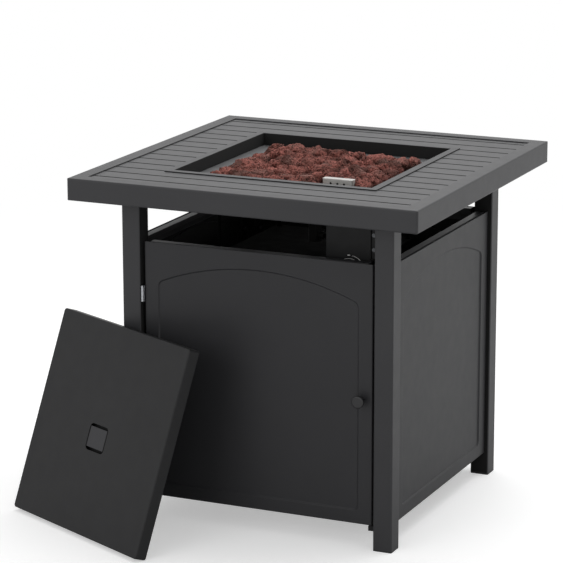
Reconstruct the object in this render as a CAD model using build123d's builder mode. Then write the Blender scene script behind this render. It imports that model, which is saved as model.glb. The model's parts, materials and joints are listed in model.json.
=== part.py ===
"""Square gas fire pit table: slatted steel top, burner well, cabinet with a door, loose lid.

Millimetres. The origin is on the floor under the middle of the top, +X is to the right of a
person facing the door, +Y runs to the back and +Z is up.
"""

import os
from math import cos, pi, radians, sin

from build123d import *

os.makedirs("parts", exist_ok=True)

# Whole table
top_width = 711.2
table_height = 680.0
cut_overrun = 5.0
seat_gap = 0.3

# Top border: folded sheet with a deep apron and a lip turned in at its foot
border_sheet = 2.0
border_width = 30.0
apron_height = 43.0
apron_lip = 12.0
border_edge_radius = 3.0
top_corner_radius = 4.5

# Slats, all running left to right under the edges of the border and the well frame
slat_count = 13
slat_edge_row = 21.7
slat_sheet = 2.0
slat_gap = 3.0
slat_seat = 8.0
slat_edge_radius = 0.7

# Lid
lid_width = 404.0
lid_depth = 24.0
lid_sheet = 1.2
lid_corner_radius = 6.0
lid_edge_radius = 2.5
lid_clearance = 2.0
lid_sunk = 1.0
lid_lean = 19.2
lid_turn = -26.3
lid_lean_offset = 165.7
grip_drop = 17.0
grip_window_width = 58.0
grip_window_height = 52.0
grip_window_radius = 9.0
grip_strap_height = 40.0
grip_sheet = 1.2
grip_dish_margin = 6.0
grip_dish_depth = 6.5

# Frame of the well and its ledge
well_sheet = 2.0
well_rim = 15.0
well_ledge = 12.0
well_corner_radius = 3.0

# Rails under the slats
support_rail_width = 38.0
support_rail_height = 20.0
cross_rail_width = 20.0
cross_rail_inset = 13.0
rail_wall = 1.5
rail_end_gap = 0.5

# Legs and feet, standing clear of the well frame
leg_size = 38.0
leg_well_gap = 22.6
leg_wall = 1.5
leg_corner_radius = 3.0
leg_plate_sheet = 3.0
leg_plate_tab = 26.0
foot_height = 4.0
foot_plug_height = 18.0
foot_plug_clearance = 0.2
leg_bolt_radius = 4.0
leg_bolt_head_width = 13.0
leg_bolt_head_height = 5.3
leg_bolt_reach = 8.0
bolt_clearance = 0.1

# Fixed panels and door, each with a pressed field under an arch
panel_sheet = 1.2
panel_setback = 8.0
panel_bottom = 46.0
panel_top_drop = 129.0
panel_return = 14.0
panel_bend_radius = 3.0
panel_side_gap = 0.3
field_side_margin = 33.3
field_foot_height = 26.0
field_shoulder_drop = 76.0
field_crown_drop = 33.0
field_corner_radius = 10.0
field_shoulder_radius = 16.0
field_depth = 2.5
field_slope = 45.0

# Stiffener along the top of each panel
stiffener_groove = 5.0
stiffener_width = 15.0
stiffener_drop = 15.0
stiffener_weld = 14.0
stiffener_lip = 9.0
stiffener_sheet = 1.2
stiffener_end_inset = 11.0

# Panel screws
screw_radius = 2.0
screw_head_radius = 4.0
screw_head_height = 2.4
screw_clearance = 0.1
screw_reach = 6.0
screw_end_inset = 84.0

# Lower rails and tank tray
lower_rail_size = 15.0
lower_rail_wall = 1.5
lower_rail_inset = 0.5
lower_rail_rise = 8.0
tray_sheet = 1.2
tray_hole_radius = 107.0
tray_edge_gap = 1.0

# Door, knob, hinges, catch and rest
door_side_gap = 5.6
hinge_height = 30.0
hinge_inset = 102.0
hinge_setback = 3.1
hinge_sheet = 1.5
hinge_leaf_depth = 18.0
hinge_barrel_radius = 2.6
hinge_pin_radius = 1.3
hinge_pin_head = 1.0
hinge_pin_head_radius = 2.2
hinge_fit = 0.05
knuckle_gap = 0.2
leaf_gap = 0.4
door_knob_radius = 12.0
door_knob_length = 22.0
door_knob_neck_radius = 6.0
door_knob_cap = 9.0
door_knob_edge_inset = 22.0
door_knob_height = 291.0
door_knob_edge_radius = 3.0
strike_width = 15.0
strike_height = 30.0
strike_sheet = 1.5
catch_width = 12.0
catch_depth = 16.0
rest_width = 12.6
rest_depth = 10.0
rest_height = 9.5
rest_gap = 0.5

# Burner pan
pan_sheet = 1.2
pan_side_gap = 1.0
bowl_ledge = 39.0
bowl_depth = 22.0
bowl_corner_radius = 14.0

# Ring burner and its nut
ring_bowl_gap = 75.0
ring_tube_radius = 7.0
ring_rise = 4.0
burner_bar_size = 10.0
burner_hub_radius = 15.0
burner_stub_radius = 10.0
burner_stub_length = 28.0
burner_bore_radius = 7.0
port_count = 24
port_length = 6.0
port_width = 1.6
port_depth = 4.0
stub_clearance = 0.3
burner_nut_width = 32.0
burner_nut_height = 8.0
thread_fit = 0.05

# Mixer tube, air shutter and orifice elbow
mixer_radius = 13.5
mixer_bore_radius = 8.0
mixer_top_gap = 3.0
mixer_length = 66.0
mixer_floor = 6.0
mixer_collar_radius = 16.0
mixer_collar_height = 6.0
air_window_width = 9.0
air_window_height = 16.0
air_window_rise = 11.0
shutter_radius = 15.0
shutter_height = 26.0
shutter_fit = 0.05
shutter_lever_length = 9.0
shutter_lever_width = 5.0
orifice_width = 24.0
orifice_below = 12.0
orifice_spigot_radius = 6.0
orifice_spigot_length = 10.0
orifice_port_radius = 8.0
orifice_port_length = 20.0

# Feed pipe and heat shield
pipe_radius = 4.0
pipe_bend_radius = 40.0
shield_bowl_inset = 15.0
shield_sheet = 1.0
shield_below_pan = 127.0
shield_corner_radius = 10.0
rod_inset = 10.0
rod_radius = 3.0
rod_clearance = 0.1
rod_collar_radius = 5.0
rod_collar_height = 3.0

# Control panel
control_rail_offset = 11.0
control_leg_gap = 31.6
control_width = 90.0
control_drop = 191.0
control_sheet = 1.2
control_flange = 18.0
control_return = 12.0
control_ear_width = 12.0
control_ear_drop = 44.0
control_ear_height = 64.0
control_ear_offset = 3.0
control_screw_rises = (18.0, 46.0)
flange_screw_inset = 20.0
bracket_sheet = 1.5
bracket_inset = 1.0
bracket_reach = 25.0

# Valve, stem, knob and hose inlet
valve_inset = 47.0
valve_rise = 54.0
valve_half_width = 20.0
valve_half_height = 22.0
valve_depth = 40.0
valve_edge_radius = 4.0
valve_outlet_rise = 10.0
valve_outlet_radius = 7.0
valve_outlet_length = 8.0
stem_radius = 4.0
stem_flat = 1.2
stem_bore_depth = 18.0
stem_out = 15.5
stem_fit = 0.05
stem_hole_radius = 6.0
control_knob_radius = 22.0
control_knob_depth = 17.0
control_knob_gap = 4.0
control_knob_socket_depth = 16.5
control_knob_edge_radius = 2.0
knob_bar_width = 10.0
knob_bar_height = 5.0
knob_bar_end_inset = 2.0
inlet_radius = 7.94
inlet_length = 16.0
inlet_hex_width = 19.0
inlet_hex_height = 6.0
inlet_bore_radius = 3.5

# Push-button igniter
igniter_inset = 14.0
igniter_rise = 23.0
igniter_radius = 9.5
igniter_length = 45.0
igniter_neck_radius = 8.0
igniter_neck_out = 9.0
igniter_nut_radius = 11.5
igniter_nut_height = 5.0
igniter_bore_radius = 6.0
button_fit = 0.08
button_out = 8.0
button_in = 12.0
button_cap_radius = 7.5
button_cap_height = 3.0
button_bore_spare = 8.0

# Electrode, thermocouple and perforated cover in the pan
pilot_side_inset = 54.0
pilot_front_inset = 50.0
pilot_spacing = 22.0
electrode_radius = 4.0
electrode_below = 15.0
electrode_height = 20.0
electrode_rod_radius = 1.2
electrode_rod_height = 10.0
thermocouple_radius = 2.5
thermocouple_height = 26.0
pilot_hole_clearance = 0.2
pilot_collar = 2.5
cover_width = 62.0
cover_depth = 16.0
cover_height = 38.5
cover_sheet = 0.8
cover_hole_radius = 2.4
cover_hole_pitch = 13.8
cover_hole_row = 18.0
cover_hole_columns = 3
cover_hole_rows = 2
lead_radius = 1.5
lead_start_run = 17.0
lead_bend_radius = 7.0
igniter_lead_level = 34.0
thermocouple_lead_level = 19.0
thermocouple_port_x = -15.0
thermocouple_port_z = -14.0

# Lava rocks, in a square grid that makes room for the pilot cover
rock_rows = 7
rock_levels_share = (0.0, 0.22, 0.62, 1.0)
rock_widths_share = (0.74, 1.0, 0.86, 0.5)
rock_sides = 7
rock_spread_share = 0.46
rock_low_height = 37.0
rock_high_height = 21.0
rock_height_swing = 3.0
rock_gap = 0.5
rock_least_room = 8.0
rock_dent_share = 0.24
rock_phase = 2.3

# Sizes worked out from the ones above
top_half = top_width / 2
field_half = top_half - border_width
slat_top = table_height - border_sheet
slat_bottom = slat_top - slat_sheet
well_half = lid_width / 2 + lid_clearance
well_outer = well_half + well_rim
slat_inner = well_outer - slat_seat
leg_inner = well_outer + leg_well_gap
leg_centre = leg_inner + leg_size / 2
leg_outer = leg_inner + leg_size
panel_face = leg_outer - panel_setback
panel_top = table_height - panel_top_drop
ledge_top = table_height - lid_depth - lid_sunk
bowl_half_width = well_half - bowl_ledge
ring_radius = bowl_half_width - ring_bowl_gap
shield_half_width = bowl_half_width - shield_bowl_inset
pan_floor = ledge_top - bowl_depth
pan_under = pan_floor - pan_sheet
support_bottom = slat_bottom - support_rail_height
leg_top = support_bottom - leg_plate_sheet
cross_rail_y = well_outer + cross_rail_inset
panel_half = leg_inner - panel_side_gap
field_half_width = panel_half - field_side_margin
panel_middle = (panel_bottom + panel_top) / 2
panel_height = panel_top - panel_bottom
door_half = leg_inner - door_side_gap
hinge_x = -(leg_inner + door_half) / 2
hinge_y = -(leg_outer - hinge_setback)
hinge_levels = (panel_bottom + hinge_inset, panel_top - hinge_inset)
lower_rail_centre = leg_inner + lower_rail_inset + lower_rail_size / 2
lower_rail_bottom = panel_bottom + lower_rail_rise
lower_rail_top = lower_rail_bottom + lower_rail_size
mixer_top = pan_under - burner_nut_height - mixer_top_gap
mixer_bottom = mixer_top - mixer_length
shield_top = pan_under - shield_below_pan
control_front = cross_rail_y - control_rail_offset
control_right = leg_inner - control_leg_gap
control_left = control_right - control_width
control_bottom = support_bottom - control_drop
control_ear_bottom = support_bottom - control_ear_drop - control_ear_height
control_screw_heights = [control_ear_bottom + rise for rise in control_screw_rises]
control_back = -control_front + control_sheet
valve_x = control_left + valve_inset
valve_z = control_bottom + valve_rise
pipe_z = valve_z + valve_outlet_rise
igniter_x = control_left + igniter_inset
igniter_z = control_bottom + igniter_rise
thermocouple_x = bowl_half_width - pilot_side_inset
electrode_x = thermocouple_x - pilot_spacing
pilot_y = pilot_front_inset - bowl_half_width
valve_back = control_back + valve_depth
flange_screw_y = -control_front - control_flange / 2
flange_screw_places = (
    (control_left + flange_screw_inset, flange_screw_y),
    (control_right - flange_screw_inset, flange_screw_y),
)
screw_levels = (panel_bottom + screw_end_inset, panel_top - screw_end_inset)
panel_turns = {"right": 90, "rear": 180, "left": 270}
up = Vector(0, 0, 1)


def outward(turn):
    """Direction out of one side of the table: turn 0 is the front, 90 the right side."""
    return Vector(0, -1, 0).rotate(Axis.Z, turn)


def profile_plane(turn):
    """Cross-section plane of one side: local x points out of the table, local y points up."""
    return Plane(origin=(0, 0, 0), x_dir=outward(turn), z_dir=outward(turn).cross(up))


def face_plane(turn, distance):
    """Upright plane of one side: local x runs along it, local y is the height, local z is out."""
    return Plane(origin=outward(turn) * distance, x_dir=up.cross(outward(turn)), z_dir=outward(turn))


def front_turning_plane(x, y, z):
    """Plane through an axis that points to the front: local x is the radius, local y the way out."""
    return Plane(origin=(x, y, z), x_dir=(1, 0, 0), z_dir=(0, 0, -1))


def front_axis(x, y, z):
    """Axis through a point, pointing to the front of the table."""
    return Axis((x, y, z), (0, -1, 0))


def write(piece, node):
    """Label one finished piece and write its file."""
    piece.part.label = node
    export_step(piece.part, f"parts/{node}.step")


# Top border, four rails mitred at the corners
for side, turn in {"front": 0, "right": 90, "back": 180, "left": 270}.items():
    along = outward(turn).cross(up)
    with BuildPart() as border_rail:
        with BuildSketch(profile_plane(turn)) as border_profile:
            with BuildLine():
                Polyline(
                    (field_half, table_height),
                    (top_half, table_height),
                    (top_half, table_height - apron_height),
                    (top_half - apron_lip, table_height - apron_height),
                    (top_half - apron_lip, table_height - apron_height + border_sheet),
                    (top_half - border_sheet, table_height - apron_height + border_sheet),
                    (top_half - border_sheet, table_height - border_sheet),
                    (field_half, table_height - border_sheet),
                    close=True,
                )
            make_face()
            outer_corners = border_profile.vertices().group_by(Axis.X)[-1]
            fillet(outer_corners, border_edge_radius)
            inner_corners = border_profile.vertices().filter_by_position(
                Axis.X, top_half - border_sheet, top_half - border_sheet
            )
            fillet(inner_corners, border_edge_radius - border_sheet)
        extrude(amount=top_half, both=True)
        split(bisect_by=Plane(origin=(0, 0, 0), z_dir=outward(turn) + along), keep=Keep.TOP)
        split(bisect_by=Plane(origin=(0, 0, 0), z_dir=outward(turn) - along), keep=Keep.TOP)
        with BuildSketch():
            RectangleRounded(top_width, top_width, top_corner_radius)
        extrude(amount=table_height, mode=Mode.INTERSECT)
    write(border_rail, f"border_rail_{side}")


# Slats: each row runs across the field and is cut away where the well is
groove_half = field_half - slat_edge_row
slat_pitch = 2 * groove_half / slat_count
long_rows = []
short_rows = []
for row in range(-1, slat_count + 1):
    row_front = -groove_half + row * slat_pitch + slat_gap / 2
    row_back = row_front + slat_pitch - slat_gap
    if row == -1:
        row_front = -field_half - slat_seat
    if row == slat_count:
        row_back = field_half + slat_seat
    inside_well = row_front > -slat_inner and row_back < slat_inner
    (short_rows if inside_well else long_rows).append((row_front, row_back))

for node, rows in {"long_slats": long_rows, "short_slats": short_rows}.items():
    with BuildPart() as slats:
        with BuildSketch(Plane.XY.offset(slat_bottom)):
            for row_front, row_back in rows:
                with Locations((0, (row_front + row_back) / 2)):
                    Rectangle(2 * (field_half + slat_seat), row_back - row_front)
            Rectangle(2 * slat_inner, 2 * slat_inner, mode=Mode.SUBTRACT)
        extrude(amount=slat_sheet)
        fillet(slats.faces().group_by(Axis.Z)[-1].edges(), slat_edge_radius)
    write(slats, node)


# Frame of the well: rim over the slats, upright wall, ledge under the pan
pan_flange_under = ledge_top - pan_sheet
with BuildPart() as well_frame:
    with BuildSketch(Plane.XY.offset(table_height)):
        RectangleRounded(2 * well_outer, 2 * well_outer, well_corner_radius)
        Rectangle(2 * well_half, 2 * well_half, mode=Mode.SUBTRACT)
    extrude(amount=-well_sheet)
    with BuildSketch(Plane.XY.offset(table_height)):
        Rectangle(2 * (well_half + well_sheet), 2 * (well_half + well_sheet))
        Rectangle(2 * well_half, 2 * well_half, mode=Mode.SUBTRACT)
    extrude(amount=-(table_height - pan_flange_under + well_sheet))
    with BuildSketch(Plane.XY.offset(pan_flange_under)):
        Rectangle(2 * (well_half + well_sheet), 2 * (well_half + well_sheet))
        Rectangle(2 * (well_half - well_ledge), 2 * (well_half - well_ledge), mode=Mode.SUBTRACT)
    extrude(amount=-well_sheet)
    rim_edges = well_frame.faces().group_by(Axis.Z)[-1].edges()
    fillet(rim_edges, well_sheet / 3)
write(well_frame, "well_frame")


# Rails under the slats: two along the sides over the legs, two across between them
bolt_y = leg_inner - leg_plate_tab / 2
support_middle = support_bottom + support_rail_height / 2
with BuildPart() as support_rails:
    with BuildSketch(Plane.XZ):
        with Locations((-leg_centre, support_middle), (leg_centre, support_middle)):
            Rectangle(support_rail_width, support_rail_height)
            Rectangle(
                support_rail_width - 2 * rail_wall,
                support_rail_height - 2 * rail_wall,
                mode=Mode.SUBTRACT,
            )
    extrude(amount=top_half - border_sheet - rail_end_gap, both=True)
    with BuildSketch(Plane.XY.offset(support_bottom)):
        with GridLocations(2 * leg_centre, 2 * bolt_y, 2, 2):
            Circle(leg_bolt_radius + bolt_clearance)
    extrude(amount=2 * rail_wall, both=True, mode=Mode.SUBTRACT)
write(support_rails, "support_rails")

with BuildPart() as cross_rails:
    with BuildSketch(Plane.YZ):
        with Locations((-cross_rail_y, support_middle), (cross_rail_y, support_middle)):
            Rectangle(cross_rail_width, support_rail_height)
            Rectangle(
                cross_rail_width - 2 * rail_wall,
                support_rail_height - 2 * rail_wall,
                mode=Mode.SUBTRACT,
            )
    extrude(amount=leg_centre - support_rail_width / 2, both=True)
    with BuildSketch(Plane.XY.offset(support_bottom)):
        with Locations(*flange_screw_places):
            Circle(screw_radius + screw_clearance)
    extrude(amount=2 * rail_wall, both=True, mode=Mode.SUBTRACT)
write(cross_rails, "cross_rails")


def panel_screw_planes(turn):
    """Planes on the leg faces where one panel is screwed, with local z going into the leg."""
    plane = face_plane(turn, panel_face - panel_return / 2)
    planes = []
    for hand in (-1, 1):
        for level in screw_levels:
            start = plane.from_local_coords((hand * leg_inner, level, 0))
            planes.append(Plane(origin=start, x_dir=up, z_dir=plane.x_dir * hand))
    return planes


all_screw_planes = [plane for turn in panel_turns.values() for plane in panel_screw_planes(turn)]


# Legs, with their plates, bolts and feet
leg_hands = {"front_left": (-1, -1), "front_right": (1, -1), "rear_left": (-1, 1), "rear_right": (1, 1)}
for corner, (hand_x, hand_y) in leg_hands.items():
    leg_middle = Vector(hand_x * leg_centre, hand_y * leg_centre, foot_height)
    with BuildPart() as leg:
        with BuildSketch(Plane(origin=leg_middle)):
            RectangleRounded(leg_size, leg_size, leg_corner_radius)
            RectangleRounded(
                leg_size - 2 * leg_wall,
                leg_size - 2 * leg_wall,
                leg_corner_radius - leg_wall,
                mode=Mode.SUBTRACT,
            )
        extrude(amount=leg_top - foot_height)
        for screw_plane in all_screw_planes:
            start = screw_plane.origin
            if start.X * hand_x > 0 and start.Y * hand_y > 0:
                with BuildSketch(screw_plane):
                    Circle(screw_radius + screw_clearance)
                extrude(amount=2 * leg_wall, both=True, mode=Mode.SUBTRACT)
    write(leg, f"leg_{corner}")

with BuildPart() as leg_plates:
    with BuildSketch(Plane.XY.offset(leg_top)):
        for hand_x, hand_y in leg_hands.values():
            with Locations((hand_x * leg_centre, hand_y * (leg_centre - leg_plate_tab / 2))):
                RectangleRounded(leg_size, leg_size + leg_plate_tab, leg_corner_radius)
        with GridLocations(2 * leg_centre, 2 * bolt_y, 2, 2):
            Circle(leg_bolt_radius + bolt_clearance, mode=Mode.SUBTRACT)
    extrude(amount=leg_plate_sheet)
write(leg_plates, "leg_plates")

with BuildPart() as leg_bolts:
    with BuildSketch(Plane.XY.offset(leg_top)):
        with GridLocations(2 * leg_centre, 2 * bolt_y, 2, 2):
            RegularPolygon(leg_bolt_head_width / 2, 6, major_radius=False)
    extrude(amount=-leg_bolt_head_height)
    with BuildSketch(Plane.XY.offset(leg_top)):
        with GridLocations(2 * leg_centre, 2 * bolt_y, 2, 2):
            Circle(leg_bolt_radius)
    extrude(amount=leg_plate_sheet + rail_wall + leg_bolt_reach)
write(leg_bolts, "leg_bolts")

with BuildPart() as foot_caps:
    with BuildSketch():
        with GridLocations(2 * leg_centre, 2 * leg_centre, 2, 2):
            RectangleRounded(leg_size, leg_size, leg_corner_radius)
    extrude(amount=foot_height)
    foot_plug = leg_size - 2 * leg_wall - 2 * foot_plug_clearance
    with BuildSketch(Plane.XY.offset(foot_height)):
        with GridLocations(2 * leg_centre, 2 * leg_centre, 2, 2):
            RectangleRounded(foot_plug, foot_plug, leg_corner_radius - leg_wall)
    extrude(amount=foot_plug_height)
write(foot_caps, "foot_caps")


# Outline of the pressed field, flat: local x along the panel, local y the height
field_foot = panel_bottom + field_foot_height
field_shoulder = panel_top - field_shoulder_drop
field_crown = panel_top - field_crown_drop
with BuildSketch() as arched_field:
    with BuildLine():
        Polyline(
            (-field_half_width, field_shoulder),
            (-field_half_width, field_foot),
            (field_half_width, field_foot),
            (field_half_width, field_shoulder),
        )
        ThreePointArc(
            (field_half_width, field_shoulder), (0, field_crown), (-field_half_width, field_shoulder)
        )
    make_face()
    fillet(arched_field.vertices().group_by(Axis.Y)[0], field_corner_radius)
    fillet(arched_field.vertices().group_by(Axis.Y)[-1], field_shoulder_radius)

# Section of the stiffener: local x out of the table, local y the height
sheet_back = panel_face - panel_sheet
stiffener_front = sheet_back - stiffener_groove
stiffener_back = stiffener_front - stiffener_width
stiffener_shelf = panel_top - stiffener_drop
with BuildSketch() as stiffener_section:
    with BuildLine():
        Polyline(
            (sheet_back, stiffener_shelf - stiffener_weld),
            (sheet_back, stiffener_shelf),
            (stiffener_front, stiffener_shelf),
            (stiffener_front, panel_top),
            (stiffener_back, panel_top),
            (stiffener_back, panel_top - stiffener_lip),
            (stiffener_back + stiffener_sheet, panel_top - stiffener_lip),
            (stiffener_back + stiffener_sheet, panel_top - stiffener_sheet),
            (stiffener_front - stiffener_sheet, panel_top - stiffener_sheet),
            (stiffener_front - stiffener_sheet, stiffener_shelf - stiffener_sheet),
            (sheet_back - stiffener_sheet, stiffener_shelf - stiffener_sheet),
            (sheet_back - stiffener_sheet, stiffener_shelf - stiffener_weld),
            close=True,
        )
    make_face()


def arched_panel(plane, half_width):
    """Pressed sheet panel: turned-in sides and foot, open top, and a sunk field with an arch."""
    with BuildPart() as panel:
        with BuildSketch(plane):
            with Locations((0, panel_middle)):
                Rectangle(2 * half_width, panel_height)
        extrude(amount=-panel_return)
        way_out = Axis(plane.origin, plane.z_dir)
        front_edges = panel.faces().sort_by(way_out)[-1].edges()
        fillet(front_edges.sort_by(Axis.Z)[:-1], panel_bend_radius)
        back_face = panel.faces().sort_by(way_out)[0]
        top_face = panel.faces().sort_by(Axis.Z)[-1]
        offset(amount=-panel_sheet, openings=[back_face, top_face])
        with BuildSketch(plane.offset(-panel_sheet)):
            add(arched_field.sketch)
            offset(amount=panel_sheet)
        extrude(amount=-field_depth)
        with BuildSketch(plane):
            add(arched_field.sketch)
        extrude(amount=-field_depth, taper=field_slope, mode=Mode.SUBTRACT)
    return panel.part


# Fixed panels, their stiffeners and their screws
for side, turn in panel_turns.items():
    with BuildPart() as fixed_panel:
        add(arched_panel(face_plane(turn, panel_face), panel_half))
        for screw_plane in panel_screw_planes(turn):
            with BuildSketch(screw_plane):
                Circle(screw_radius + screw_clearance)
            extrude(amount=-(panel_side_gap + 2 * panel_sheet), mode=Mode.SUBTRACT)
    write(fixed_panel, f"{side}_panel")

with BuildPart() as panel_stiffeners:
    for turn in panel_turns.values():
        with BuildSketch(profile_plane(turn)):
            add(stiffener_section.sketch)
        extrude(amount=panel_half - stiffener_end_inset, both=True)
write(panel_stiffeners, "panel_stiffeners")

with BuildPart() as panel_screws:
    for screw_plane in all_screw_planes:
        head_plane = screw_plane.offset(-(panel_side_gap + panel_sheet))
        with BuildSketch(head_plane):
            Circle(screw_radius)
        extrude(amount=panel_side_gap + panel_sheet + leg_wall + screw_reach)
        with BuildSketch(head_plane):
            Circle(screw_head_radius)
        extrude(amount=-screw_head_height)
write(panel_screws, "panel_screws")


# Lower rails between the legs and the tray for the gas bottle
with BuildPart() as lower_rails:
    for turn in (0, 90, 180, 270):
        with BuildSketch(profile_plane(turn)):
            with Locations((lower_rail_centre, lower_rail_bottom + lower_rail_size / 2)):
                Rectangle(lower_rail_size, lower_rail_size)
                Rectangle(
                    lower_rail_size - 2 * lower_rail_wall,
                    lower_rail_size - 2 * lower_rail_wall,
                    mode=Mode.SUBTRACT,
                )
        extrude(amount=leg_inner, both=True)
write(lower_rails, "lower_rails")

tray_long = 2 * (lower_rail_centre + lower_rail_size / 2 - tray_edge_gap)
tray_short = 2 * (leg_inner - tray_edge_gap)
with BuildPart() as tank_tray:
    with BuildSketch(Plane.XY.offset(lower_rail_top)):
        Rectangle(tray_long, tray_short)
        Rectangle(tray_short, tray_long)
        Circle(tray_hole_radius, mode=Mode.SUBTRACT)
    extrude(amount=tray_sheet)
write(tank_tray, "tank_tray")


# Door: pressed panel, stiffener, knob and its screw, strike plate
door_plane = face_plane(0, panel_face)
door_knob_x = door_half - door_knob_edge_inset
with BuildPart() as door_panel:
    add(arched_panel(door_plane, door_half))
    with BuildSketch(door_plane):
        with Locations((door_knob_x, door_knob_height)):
            Circle(screw_radius + screw_clearance)
    extrude(amount=-2 * panel_sheet, mode=Mode.SUBTRACT)
write(door_panel, "door_panel")

with BuildPart() as door_stiffener:
    with BuildSketch(profile_plane(0)):
        add(stiffener_section.sketch)
    extrude(amount=door_half - stiffener_end_inset, both=True)
write(door_stiffener, "door_stiffener")

with BuildPart() as door_knob:
    with BuildSketch(front_turning_plane(door_knob_x, -panel_face, door_knob_height)) as knob_profile:
        with BuildLine():
            Polyline(
                (screw_radius + thread_fit, 0),
                (door_knob_neck_radius, 0),
                (door_knob_neck_radius, door_knob_length - door_knob_cap),
                (door_knob_radius, door_knob_length - door_knob_cap),
                (door_knob_radius, door_knob_length),
                (0, door_knob_length),
                (0, door_knob_length - door_knob_cap),
                (screw_radius + thread_fit, door_knob_length - door_knob_cap),
                close=True,
            )
        make_face()
        fillet(knob_profile.vertices().group_by(Axis.X)[-1], door_knob_edge_radius)
    revolve(axis=front_axis(door_knob_x, -panel_face, door_knob_height))
write(door_knob, "door_knob")

with BuildPart() as knob_screw:
    with BuildSketch(door_plane.offset(-panel_sheet)):
        with Locations((door_knob_x, door_knob_height)):
            Circle(screw_head_radius)
    extrude(amount=-screw_head_height)
    with BuildSketch(door_plane.offset(-panel_sheet)):
        with Locations((door_knob_x, door_knob_height)):
            Circle(screw_radius)
    extrude(amount=panel_sheet + screw_reach)
write(knob_screw, "knob_screw")

return_back = -(panel_face - panel_return)
with BuildPart() as strike_plate:
    with BuildSketch(Plane.XY.offset(door_knob_height - strike_height / 2)):
        with Locations((door_half, return_back)):
            Rectangle(strike_width, strike_sheet, align=(Align.MAX, Align.MIN))
    extrude(amount=strike_height)
write(strike_plate, "strike_plate")


# Hinges: outer knuckles on the leg, middle knuckle on the door, one pin through each
knuckle = hinge_height / 3
leaf_start = hinge_y + hinge_barrel_radius + leaf_gap
leaf_length = hinge_leaf_depth - hinge_barrel_radius - leaf_gap


def hinge_leaves(leaf_x, lean, knuckle_offsets):
    """Leaves of both hinges for one side: flat plates, each joined to its own knuckles."""
    with BuildPart() as leaves:
        for level in hinge_levels:
            with BuildSketch(Plane.XY.offset(level - hinge_height / 2)):
                with Locations((leaf_x, leaf_start)):
                    Rectangle(hinge_sheet, leaf_length, align=(lean, Align.MIN))
            extrude(amount=hinge_height)
            for knuckle_offset in knuckle_offsets:
                start = level + knuckle_offset - knuckle / 2 + knuckle_gap / 2
                with BuildSketch(Plane.XY.offset(start)):
                    with Locations((hinge_x, hinge_y)):
                        Circle(hinge_barrel_radius)
                    with Locations((leaf_x, hinge_y)):
                        Rectangle(hinge_sheet, leaf_start - hinge_y, align=(lean, Align.MIN))
                    with Locations((hinge_x, hinge_y)):
                        Circle(hinge_pin_radius + hinge_fit, mode=Mode.SUBTRACT)
                extrude(amount=knuckle - knuckle_gap)
    return leaves


write(hinge_leaves(-leg_inner, Align.MIN, (-knuckle, knuckle)), "hinge_leg_leaves")
write(hinge_leaves(-door_half, Align.MAX, (0,)), "hinge_door_leaves")

with BuildPart() as hinge_pins:
    for level in hinge_levels:
        pin_top = level + hinge_height / 2
        with BuildSketch(Plane.XY.offset(pin_top)):
            with Locations((hinge_x, hinge_y)):
                Circle(hinge_pin_radius)
        extrude(amount=-hinge_height)
        with BuildSketch(Plane.XY.offset(pin_top)):
            with Locations((hinge_x, hinge_y)):
                Circle(hinge_pin_head_radius)
        extrude(amount=hinge_pin_head)
write(hinge_pins, "hinge_pins")

with BuildPart() as door_catch:
    with BuildSketch(Plane.XY.offset(door_knob_height - strike_height / 2)):
        with Locations((leg_inner, return_back + strike_sheet + seat_gap)):
            Rectangle(catch_width, catch_depth, align=(Align.MAX, Align.MIN))
    extrude(amount=strike_height)
write(door_catch, "door_catch")

with BuildPart() as door_rest:
    with BuildSketch(Plane.XY.offset(panel_bottom - rest_gap)):
        with Locations((leg_inner, -panel_face)):
            Rectangle(rest_width, rest_depth, align=(Align.MAX, Align.MIN))
    extrude(amount=-rest_height)
write(door_rest, "door_rest")


# Lid, leaning on the front left edge of the front left leg
lid_across = Vector(cos(radians(lid_turn)), sin(radians(lid_turn)), 0)
lid_away = Vector(sin(radians(lid_turn)), -cos(radians(lid_turn)), 0)
lid_rise = up * cos(radians(lid_lean)) - lid_away * sin(radians(lid_lean))
lid_normal = lid_away * cos(radians(lid_lean)) + up * sin(radians(lid_lean))
leg_rounding_centre = Vector(leg_corner_radius - leg_outer, leg_corner_radius - leg_outer, 0)
lid_contact = leg_rounding_centre + lid_away * (leg_corner_radius + seat_gap)
lid_top_corner = lid_contact - lid_across * lid_lean_offset
lid_foot_corner = lid_top_corner + lid_away * (lid_width * sin(radians(lid_lean)))
lid_middle = lid_foot_corner + lid_normal * lid_depth + (lid_across + lid_rise) * (lid_width / 2)
lid_plane = Plane(origin=lid_middle, x_dir=lid_across, z_dir=lid_normal)

with BuildPart() as lid_shell:
    with BuildSketch(lid_plane):
        RectangleRounded(lid_width, lid_width, lid_corner_radius)
    extrude(amount=-lid_depth)
    lid_way_out = Axis(lid_plane.origin, lid_plane.z_dir)
    fillet(lid_shell.faces().sort_by(lid_way_out)[-1].edges(), lid_edge_radius)
    offset(amount=-lid_sheet, openings=[lid_shell.faces().sort_by(lid_way_out)[0]])
    with BuildSketch(lid_plane):
        with Locations((0, -grip_drop)):
            RectangleRounded(grip_window_width, grip_window_height, grip_window_radius)
    extrude(amount=-2 * lid_sheet, mode=Mode.SUBTRACT)
write(lid_shell, "lid_shell")

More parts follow.
